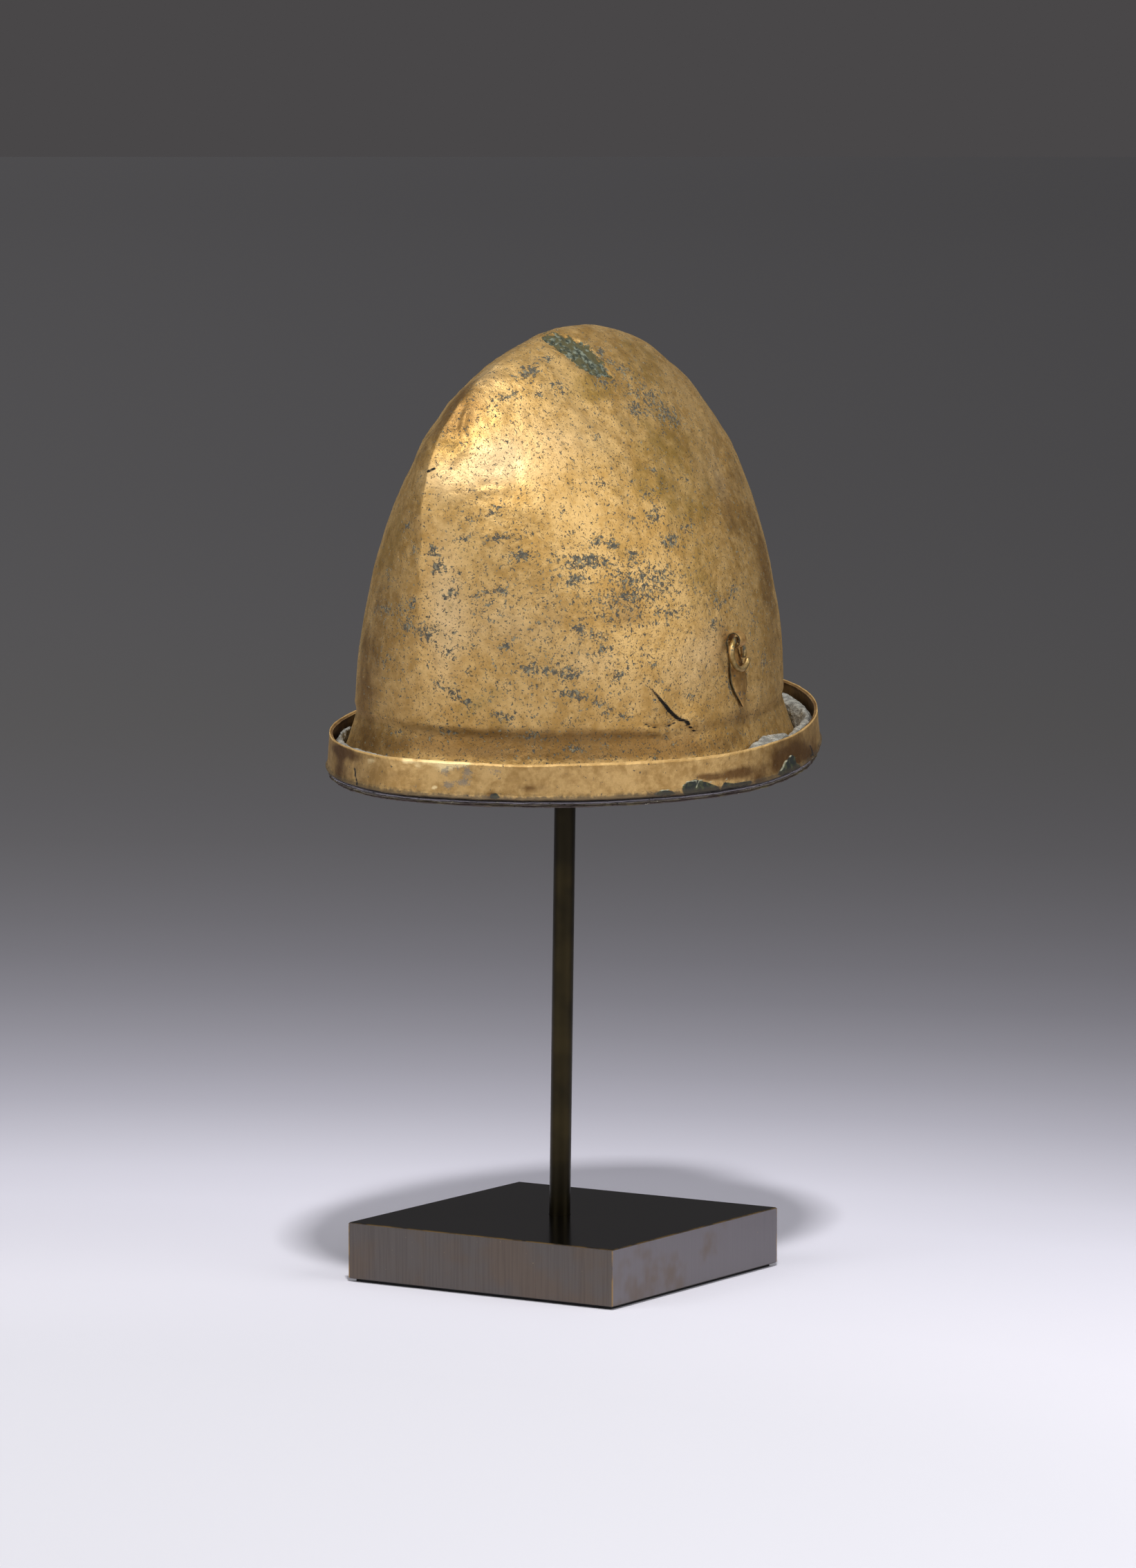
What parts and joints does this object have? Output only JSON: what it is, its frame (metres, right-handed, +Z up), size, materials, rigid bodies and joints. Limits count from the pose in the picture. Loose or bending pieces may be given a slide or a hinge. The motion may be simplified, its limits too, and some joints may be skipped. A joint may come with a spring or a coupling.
{
  "type": "negau helmet on a display stand",
  "caption": "Bronze helmet with a high ridged ovoid crown, flat rim band and one leaf-shaped hanger with a wire ring, held up by a post on a square metal base.",
  "frame": {"origin": "middle of the stand's underside", "axes": "+Z up along the stand's post, -Y towards the front of the helmet, +X towards the flank with the hanger"},
  "size_m": [0.2074, 0.2609, 0.4276],
  "materials": {
    "crown_bronze": "worn golden brown bronze, pitted, with dark, green and grey tarnish",
    "band_bronze": "brown bronze with bright rubbed patches and dark green stains",
    "grey_fill": "light grey, matte and lumpy",
    "corroded_bronze": "dull layered corrosion",
    "hanger_bronze": "worn bronze with dark green edges",
    "ring_bronze": "brown bronze with grey green spots",
    "post_metal": "dark olive brown patina, satin",
    "plate_metal": "dark brown patina, brushed satin, edges rubbed bright",
    "pad_rubber": "matte black"
  },
  "bodies": {
    "stand_and_helmet": {"crown": "crown_bronze", "rim_band": "band_bronze", "rim_fill": "grey_fill", "under_ring": "corroded_bronze", "hanger_plate": "hanger_bronze", "post": "post_metal", "base_plate": "plate_metal", "base_pad": "pad_rubber"},
    "ring": {"wire_ring": "ring_bronze"}
  },
  "joints": [
    {"name": "ring_swing", "type": "hinge", "parent": "stand_and_helmet", "child": "ring", "pos_m": [0.09701, -0.0113, 0.29125], "axis": [-0.0737, -0.9938, -0.0827], "range_deg": [0, 150]}
  ]
}
